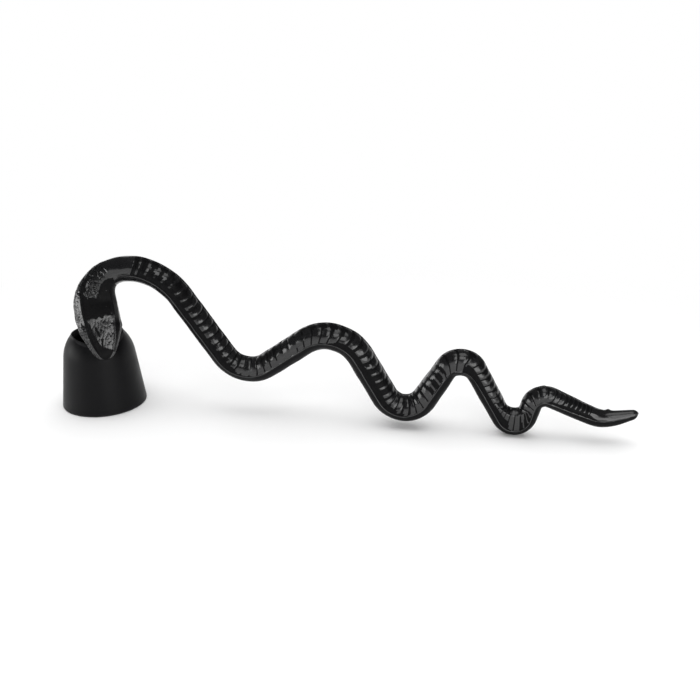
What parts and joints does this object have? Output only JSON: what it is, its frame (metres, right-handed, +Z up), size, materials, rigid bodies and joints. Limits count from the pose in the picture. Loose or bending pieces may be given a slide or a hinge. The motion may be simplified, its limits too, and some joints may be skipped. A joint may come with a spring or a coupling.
{
  "type": "candle snuffer",
  "caption": "Candle snuffer: a wavy cast snake as the handle, its neck arched over a small bell-shaped cup that swings on a pin in its jaws and smothers a flame.",
  "frame": {"origin": "centre of the cup's mouth, on the surface that the cup stands on", "axes": "+Z up along the cup's axis, +X along the handle from the cup towards the tail, -Y towards the side that the head faces"},
  "size_m": [0.2237, 0.0328, 0.0612],
  "materials": {
    "snake_enamel": "cast iron under black satin-gloss enamel, with cast ribs and scale texture",
    "cup_enamel": "smooth cast bell under black satin enamel",
    "pin_steel": "blackened steel"
  },
  "bodies": {
    "handle": {"snake_handle": "snake_enamel"},
    "cup": {"snuffer_cup": "cup_enamel", "pivot_pin": "pin_steel"}
  },
  "joints": [
    {"name": "cup_swing", "type": "hinge", "parent": "handle", "child": "cup", "pos_m": [0, 0, 0.0237], "axis": [0.6018, -0.7986, 0], "range_deg": [-12, 12]}
  ]
}
